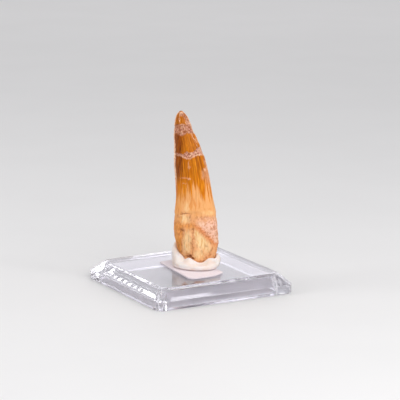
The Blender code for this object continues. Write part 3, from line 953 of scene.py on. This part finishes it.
    def relief(self, at: Points, zones: dict[Zone, Array]) -> Array:
        """Adds up how far each point stands out from the smooth outline, in millimetres.

        Flutes and striae on the enamel, a ridge down each edge, the root's lumps and hollows, the ledge
        where the enamel ends, the grain of broken surfaces, sunk and grainy mends, and chips.

        Args:
            at: the points.
            zones: the strength of each zone there.

        Returns:
            Distance outwards of each point.
        """
        heights, filler = at.heights, zones[Zone.FILLER]
        fluted = ease(*self.flutes_start, heights) * (1 - ease(*self.flutes_end, heights))
        flute_depth = fluted * self.flute_depth_share * self.half_width_at(heights)
        rise = flute_depth * (self.fluting(at) - 1)
        striae = self.striae_depth * at.grain(128, 0.10, 42)
        rise += striae * ease(*self.striae_start, heights) * (1 - filler)
        for centre in self.ridge_angles:
            ridge = bell(angle_from(at.angles, centre), self.ridge_spread)
            rise += self.ridge_height * ridge * ease(*self.ridges_start, heights)
        for centre, middle, wide, tall, swell in self.root_forms:
            around = bell(angle_from(at.angles, math.radians(centre)), math.radians(wide))
            rise += swell * around * bell(heights - middle, tall)
        ledge = self.ledge_height + self.ledge_swing * np.sin(self.ledge_waves * at.angles)
        rise -= self.ledge_depth * (1 - ease(-self.ledge_softness, self.ledge_softness, heights - ledge))

        root_grain = self.root_grain * at.grain(64, 1.1, 71) * zones[Zone.ROOT]
        rise += root_grain * (1 - 0.65 * zones[Zone.CREAM])
        rise += filler * (self.filler_grain * at.grain(36, 1.0, 73) - self.filler_sink)
        rise += self.crust_grain * zones[Zone.MATRIX] * at.grain(60, 1.1, 75)
        rise -= self.pit_depth * zones[Zone.DARK] * self.rough_skin(zones)
        rise += self.pale_zone_rise * zones[Zone.WEAR_AND_HIGHLIGHTS]
        rise -= self.chip_depth * strongest(self.chips, at.across, at.level)
        held = np.minimum(rise, rise * ease(*self.root_grip, heights))
        return held * ease(*self.root_end, heights) * (1 - ease(*self.tip_end, heights))

    def rough_skin(self, zones: dict[Zone, Array]) -> Array:
        """Is 1 on the root and the mends, whose broken skin is rough."""
        return np.clip(zones[Zone.ROOT] + zones[Zone.FILLER], 0, 1)

    def build(self) -> Piece:
        """Moves the outline by the relief, skins it, and gives the mesh its zones."""
        at = self.seen(*self.grid())
        zones = self.zones(at)
        rise = self.relief(at, zones)
        rings = self.outline(at.angles, at.heights) + outward(at.angles) * rise[..., None]
        foot, tip = rings[0].mean(axis=0), rings[-1].mean(axis=0)
        tip[2] = self.full_height
        lowest = height_of("tooth", 0)
        rings = self.stand.place(rings, lowest)
        poles = self.stand.place(np.array([foot, tip]), lowest)
        piece = closed_skin("fossil_tooth", rings, poles)
        layers = {zone.value: strength for zone, strength in zones.items()}
        layers[ROUGH_SKIN] = self.rough_skin(zones)
        for name, strength in layers.items():
            values = np.concatenate([strength.ravel(), strength[0, :1], strength[-1, :1]])
            piece.data.attributes.new(name, "FLOAT", "POINT").data.foreach_set("value", values)
        piece.data.materials.append(self.finish.material())
        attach(piece, "root")
        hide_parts("tooth")
        return piece


# The putty


@dataclass
class Putty:
    """The putty seat, pressed round the root by hand."""

    tooth: Tooth
    stand: Stand
    finish: WhitePutty = WhitePutty()
    shift: float = -0.1
    half_width: float = 9.45
    half_depth: float = 8.2
    floor: float = 1.0
    clearance: float = -0.1
    # Foot profile: share of the widest outline, height
    foot: Rows = (
        (0.3, 0.0), (0.6, 0.0), (0.86, 0.0), (0.92, 0.06), (0.965, 0.35), (0.99, 0.95), (1.0, 1.9),
    )
    wall: float = 1.1
    crest_radius: float = 0.54
    shoulder_drop: float = 0.5
    swell: float = 0.35
    lump_depth: float = 0.22
    dent_depth: float = 0.05
    lumps_start: Pair = (0.2, 1.2)
    outer_rows: int = 34
    crest_rows: int = 12
    inner_rows: int = 24
    columns: int = 300
    # The tab on the left, whose wall is thicker
    tab_angle: float = math.radians(172)
    tab_spread: float = math.radians(20)
    tab_stand_off: float = 0.5
    tab_middle: float = 7.3
    tab_tall: float = 2.4
    # The fold pressed into its right side: angle, spread, middle height, spread in height and depth
    fold: tuple[float, ...] = (-31, 3.2, 3.0, 1.9, 0.4)
    # Lobes of the foot: angle, spread and growth
    lobes: Rows = ((-58, 36, 0.12), (-140, 30, -0.04), (70, 40, 0.05))
    # Top of the putty round the root: angle and height above the underside
    rim: Rows = (
        (-180, 7.5), (-172, 6.8), (-164, 6.2), (-157, 5.9), (-151, 5.2), (-146, 4.1), (-140, 3.6),
        (-134, 3.8), (-128, 4.15), (-121, 4.4), (-115, 4.35), (-110, 3.85), (-103, 3.3), (-95, 2.75),
        (-84, 2.5), (-74, 2.7), (-67, 3.4), (-60, 4.1), (-52, 4.3), (-42, 4.1), (-30, 3.7), (-22, 3.8),
        (-10, 4.7), (20, 4.7), (60, 4.2), (105, 4.8), (130, 5.4), (143, 7.4), (152, 8.9), (161, 9.3),
        (171, 8.6),
    )

    def rim_at(self, angles: Array) -> Array:
        """Reads the height of the wavy top, the same again after each full turn."""
        rows = np.array(self.rim)
        turns = np.concatenate([rows[:, 0] - 360, rows[:, 0], rows[:, 0] + 360])
        return curve_through(turns, np.tile(rows[:, 1], 3), np.degrees(angle_from(angles, 0.0)))

    def seat_wall(self, angles: Array, heights: Array, thickness: Array) -> Array:
        """Follows the tooth's outline at the clearance plus a thickness, more of it in the tab.

        Args:
            angles: angle of each point.
            heights: height of each point above the putty's underside.
            thickness: distance of each point from the seat.

        Returns:
            The points, before they are placed on the stand.
        """
        above_foot = np.maximum(heights - (height_of("tooth", 0) - height_of("putty", 0)), 0.0)
        tab = bell(angle_from(angles, self.tab_angle), self.tab_spread)
        tab = tab * bell(heights - self.tab_middle, self.tab_tall)
        ring = self.tooth.outline(angles, above_foot)
        thicker = 1 + self.tab_stand_off * tab / self.wall
        ring = ring + outward(angles) * np.expand_dims(self.clearance + thickness * thicker, -1)
        ring[..., 2] = heights
        return ring

    def widest(self, angles: Array) -> Array:
        """Outlines the foot: an ellipse with soft lobes, level with the underside."""
        reach = np.ones_like(angles)
        for centre, spread, growth in self.lobes:
            reach += growth * bell(angle_from(angles, math.radians(centre)), math.radians(spread))
        x = self.shift + self.half_width * reach * np.cos(angles)
        y = self.half_depth * reach * np.sin(angles)
        return np.stack([x, y, np.zeros_like(angles)], axis=-1)

    def build(self) -> Piece:
        """Lofts the putty: out over its foot, up the wall, over a round crest and down the seat."""
        angles = np.linspace(0, FULL_TURN, self.columns, endpoint=False)
        widest, rim = self.widest(angles), self.rim_at(angles)
        share, rise = np.array(self.foot).T
        foot = widest[None] * share[:, None, None]
        foot[..., 2] = rise[:, None]

        shoulder = self.seat_wall(angles, rim - self.shoulder_drop, np.full_like(angles, self.wall))
        climb = np.linspace(0, 1, self.outer_rows + 1)[1:, None]
        wall = foot[-1] + (shoulder - foot[-1]) * climb[..., None]
        wall = wall + outward(angles) * (self.swell * np.sin(climb * math.pi))[..., None]

        swing = np.linspace(0, math.pi, self.crest_rows + 1)[1:, None]
        thickness = self.crest_radius * (1 + np.cos(swing)) * np.ones_like(angles)
        top = rim - self.crest_radius + self.crest_radius * np.sin(swing)
        crest = self.seat_wall(np.broadcast_to(angles, top.shape), top, thickness)

        down = np.linspace(0, 1, self.inner_rows + 1)[1:, None]
        lip = rim - self.crest_radius
        inside = lip + (self.floor - lip) * down
        seat = self.seat_wall(np.broadcast_to(angles, inside.shape), inside, np.zeros_like(inside))

        rings = np.concatenate([foot, wall, crest, seat])
        turn = np.broadcast_to(angles, rings.shape[:2])
        level = rings[..., 2]
        lumps = self.lump_depth * Grain(11, 0.35, 81).layered(turn, level, 2)
        lumps += self.dent_depth * Grain(40, 1.0, 83).layered(turn, level, 2)
        centre, spread, middle, tall, depth = self.fold
        fold = bell(angle_from(turn, math.radians(centre)), math.radians(spread))
        lumps[:-self.inner_rows] -= (depth * fold * bell(level - middle, tall))[:-self.inner_rows]
        rings = rings + outward(angles) * (lumps * ease(*self.lumps_start, level))[..., None]
        poles = np.array([rings[0].mean(axis=0), rings[-1].mean(axis=0)])
        underside = height_of("putty", 0)
        rings, poles = self.stand.place(rings, underside), self.stand.place(poles, underside)
        piece = closed_skin("putty_seat", rings, poles)
        piece.data.materials.append(self.finish.material())
        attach(piece, "root")
        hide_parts("putty")
        return piece


# The paper pad


@dataclass
class PaperPad:
    """The paper pad, cut by hand with one corner rounded off."""

    finish: CutPaper = CutPaper()
    # Corners, counter-clockwise: x, y and how far each is rounded
    corners: Rows = (
        (-8.5, 9.4, 0.2),
        (-10.8, -20.1, 2.4),
        (0.6, -19.5, 0.6),
        (5.3, -17.1, 0.25),
        (7.4, 10.6, 0.2),
    )
    corner_steps: int = 8
    edge_steps: int = 8
    edge_round: float = 0.1
    # How far inside the edge two more rings hold the faces flat
    insets: Pair = (4.0, 0.3)
    sunk: float = 0.25

    def build(self) -> Piece:
        """Carries the sheet's thin profile round its outline and closes it with flat faces."""
        rows = np.array(self.corners)
        outline = rounded_loop(rows[:, :2], rows[:, 2], self.corner_steps, self.edge_round)
        middle = outline.mean(axis=0)
        bottom, top = height_of("pad", 0) - self.sunk, height_of("pad", 1)
        swing = np.linspace(-math.pi / 2, math.pi / 2, self.edge_steps + 1)
        inset = self.edge_round * (1 - np.cos(swing))
        level = np.where(swing < 0, bottom + self.edge_round, top - self.edge_round)
        level = level + self.edge_round * np.sin(swing)
        shrink = np.concatenate([self.insets, inset, self.insets[::-1]])
        heights = np.concatenate([[bottom] * 2, level, [top] * 2])
        away = outline - middle
        reach = np.linalg.norm(away, axis=1, keepdims=True)
        flat = middle + away * (1 - shrink[:, None, None] / reach)
        upright = np.broadcast_to(heights[:, None, None], (*flat.shape[:2], 1))
        rings = np.concatenate([flat, upright], axis=-1)
        poles = np.array([[*middle, bottom], [*middle, top]])
        piece = closed_skin("paper_pad", rings, poles)
        piece.data.materials.append(self.finish.material())
        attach(piece, "root")
        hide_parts("pad")
        return piece


# The clear base


@dataclass
class ClearBase:
    """The clear base: rim, four slopes, cut corners and a plateau over a hollow."""

    finish: ClearPlastic = ClearPlastic()
    rim_height: float = 3.5
    corner_cut: float = 1.9
    plateau_side: float = 51.2
    rim_wall: float = 5.0
    plate_thickness: float = 2.0
    pocket_corner_radius: float = 3.0
    edge_round: float = 0.22
    break_round: float = 0.42
    inner_round: float = 0.35
    corner_steps: int = 5
    edge_steps: int = 5
    hold: float = 0.06

    def four_times(self, corner: list[list[float]]) -> Array:
        """Repeats a corner's points after each quarter turn."""
        turns = [np.array(Matrix.Rotation(quarter * math.pi / 2, 2)) for quarter in range(4)]
        return np.concatenate([np.array(corner) @ turn.T for turn in turns])

    def cut_square(self, half_side: float) -> Array:
        """Outlines a square with cut and rounded corners, from the right side counter-clockwise."""
        short = half_side - self.corner_cut
        corners = self.four_times([[half_side, short], [short, half_side]])
        return rounded_loop(corners, self.edge_round, self.corner_steps, self.hold)

    def round_square(self, half_side: float, radius: float) -> Array:
        """Outlines a square with round corners, in as many points as the cut square."""
        corners = self.four_times([[half_side, half_side]])
        return rounded_loop(corners, radius, 2 * self.corner_steps + 3, self.hold)

    def build(self) -> Piece:
        """Carries the wall's rounded profile round the base.

        The profile goes from the hollow's roof down its wall, under the rim, up the outside, up the
        slope and in over the plateau. Its inner part follows a square with round corners, its outer
        part one with cut corners.

        Returns:
            The piece.
        """
        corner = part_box("base")[1]
        half, top = corner.x / MM, corner.z / MM
        pocket, roof = half - self.rim_wall, top - self.plate_thickness
        plateau = self.plateau_side / 2
        corners = np.array([[0, roof], [pocket, roof], [pocket, 0], [half, 0], [half, self.rim_height],
                            [plateau, top], [0, top]])
        radii = [self.edge_round, self.inner_round, self.edge_round, self.edge_round,
                 self.break_round, self.break_round, self.edge_round]
        profile = rounded_loop(corners, radii, self.edge_steps, self.hold)
        # The first and the last corner lie on the middle line, where the poles close the skin
        per_corner = self.edge_steps + 3
        profile = profile[per_corner:-per_corner]
        rings = []
        for number, (reach, height) in enumerate(profile):
            if number < 2 * per_corner:
                radius = self.pocket_corner_radius - max(pocket - reach, 0)
                ring = self.round_square(reach, radius)
            else:
                ring = self.cut_square(reach)
            rings.append(np.column_stack([ring, np.full(len(ring), height)]))
        poles = np.array([[0, 0, roof], [0, 0, top]])
        piece = closed_skin("clear_base", np.array(rings), poles)
        piece.data.materials.append(self.finish.material())
        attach(piece, "root")
        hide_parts("base")
        return piece


# The studio


@dataclass(frozen=True)
class SoftLight:
    """A soft area light aimed at the object, placed by its direction and distance."""

    name: str
    azimuth: float
    elevation: float
    distance: float
    width: float
    height: float
    watts: float


@dataclass
class Studio:
    """Pale floor, soft lights and the camera."""

    floor: PaleFloor = PaleFloor()
    floor_side: float = 8000.0
    floor_drop: float = 0.02
    sky: Colour = linear(236, 236, 240)
    sky_strength: float = 0.52
    aim: tuple[float, float, float] = (6.93, 4.38, 32.97)
    azimuth: float = -29.08
    elevation: float = 12.31
    roll: float = 0.21
    distance: float = 822.1
    lens: float = 186.4
    clipping: Pair = (0.01, 20.0)
    lights: tuple[SoftLight, ...] = (
        SoftLight("key_light", 0.0, 32.0, 700.0, 480.0, 360.0, 2.4),
        SoftLight("edge_strip", 32.0, 27.0, 700.0, 130.0, 420.0, 0.85),
        SoftLight("left_light", -108.0, 22.0, 700.0, 300.0, 300.0, 1.45),
        SoftLight("rim_light", -151.0, 28.0, 750.0, 300.0, 300.0, 0.15),
        SoftLight("top_panel", -29.0, 88.0, 900.0, 600.0, 600.0, 0.8),
        SoftLight("back_panel", 151.0, 17.0, 1050.0, 1100.0, 500.0, 1.0),
    )

    def direction(self, azimuth: float, elevation: float) -> Vector:
        """Points from the object to where something stands; azimuth 0 is in front, at -Y."""
        a, e = math.radians(azimuth), math.radians(elevation)
        return Vector((math.sin(a) * math.cos(e), -math.cos(a) * math.cos(e), math.sin(e)))

    def build_floor(self) -> Piece:
        """Lays one large pale square just under the base."""
        half, drop = self.floor_side / 2 * MM, -self.floor_drop * MM
        corners = [(-half, -half, drop), (half, -half, drop), (half, half, drop), (-half, half, drop)]
        mesh = bpy.data.meshes.new("floor")
        mesh.from_pydata(corners, [], [(0, 1, 2, 3)])
        mesh.materials.append(self.floor.material())
        floor = placed("floor", mesh)
        return floor

    def build_lights(self) -> None:
        """Hangs the soft lights and sets an even pale sky."""
        target = Vector(self.aim) * MM
        for light in self.lights:
            lamp = bpy.data.lights.new(light.name, "AREA")
            lamp.energy = light.watts
            lamp.shape = "RECTANGLE"
            lamp.size, lamp.size_y = light.width * MM, light.height * MM
            piece = placed(light.name, lamp)
            towards = self.direction(light.azimuth, light.elevation)
            piece.location = target + towards * light.distance * MM
            piece.rotation_euler = towards.to_track_quat("Z", "Y").to_euler()
        world = bpy.data.worlds.new("pale_sky")
        world.use_nodes = True
        background = world.node_tree.nodes["Background"]
        background.inputs["Color"].default_value = (*self.sky, 1.0)
        background.inputs["Strength"].default_value = self.sky_strength
        bpy.context.scene.world = world

    def build_camera(self) -> Piece:
        """Sets the camera at the viewing angle, with its small roll."""
        lens = bpy.data.cameras.new("camera")
        lens.lens = self.lens
        lens.clip_start, lens.clip_end = self.clipping
        camera = placed("camera", lens)
        towards = self.direction(self.azimuth, self.elevation)
        turn = towards.to_track_quat("Z", "Y").to_matrix().to_4x4()
        rolled = turn @ Matrix.Rotation(math.radians(self.roll), 4, "Z")
        place = (Vector(self.aim) + towards * self.distance) * MM
        camera.matrix_world = Matrix.Translation(place) @ rolled
        bpy.context.scene.camera = camera
        return camera


def main() -> None:
    """Builds the stand from the floor up and reports each piece."""
    logging.basicConfig(level=logging.INFO, format="%(name)s: %(message)s")
    stand = Stand()
    tooth = Tooth(stand)
    for part in (ClearBase(), PaperPad(), Putty(tooth, stand), tooth):
        piece = part.build()
        WORKSHOP.info("%s has %d faces", piece.name, len(piece.data.polygons))
    studio = Studio()
    studio.build_floor()
    studio.build_lights()
    studio.build_camera()
    bpy.context.scene.view_settings.view_transform = "Standard"
    for kind in ("glossy_bounces", "transmission_bounces", "max_bounces"):
        setattr(bpy.context.scene.cycles, kind, LIGHT_BOUNCES)
    WORKSHOP.info("the studio has %d lights", len(studio.lights))


if __name__ == "__main__":
    main()
